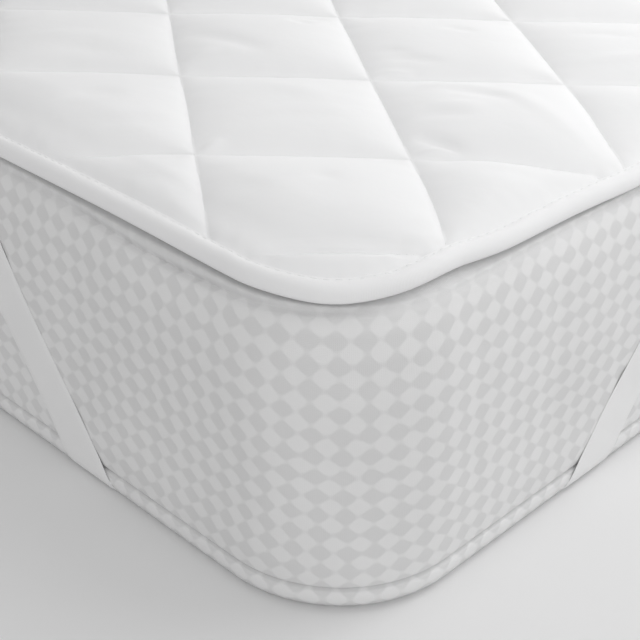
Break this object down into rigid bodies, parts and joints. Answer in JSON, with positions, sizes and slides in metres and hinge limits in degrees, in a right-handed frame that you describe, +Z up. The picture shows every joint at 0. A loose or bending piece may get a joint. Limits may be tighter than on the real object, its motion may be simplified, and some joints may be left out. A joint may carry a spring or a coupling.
{
  "type": "quilted mattress protector on a mattress",
  "caption": "Rhomb-quilted white mattress pad with bound edge, held on a plain check-covered mattress by elastic straps that pass under its corners.",
  "frame": {"origin": "on the surface that the mattress rests on, under the middle of its underside", "axes": "+X across the width, +Y along the length, +Z up"},
  "size_m": [1.203, 1.9028, 0.2224],
  "materials": {
    "mattress_ticking": "pale grey harlequin check knit, matte",
    "quilt_cloth": "fine smooth white microfibre, quilted, matte with a faint sheen",
    "binding_tape": "white folded tape, fine cross rib",
    "elastic_web": "white flat woven elastic, ribbed lengthways"
  },
  "bodies": {
    "root": {"mattress": "mattress_ticking", "quilted_pad": "quilt_cloth", "edge_binding": "binding_tape", "corner_strap_front_right": "elastic_web", "corner_strap_front_left": "elastic_web", "corner_strap_back_right": "elastic_web", "corner_strap_back_left": "elastic_web"}
  },
  "joints": []
}
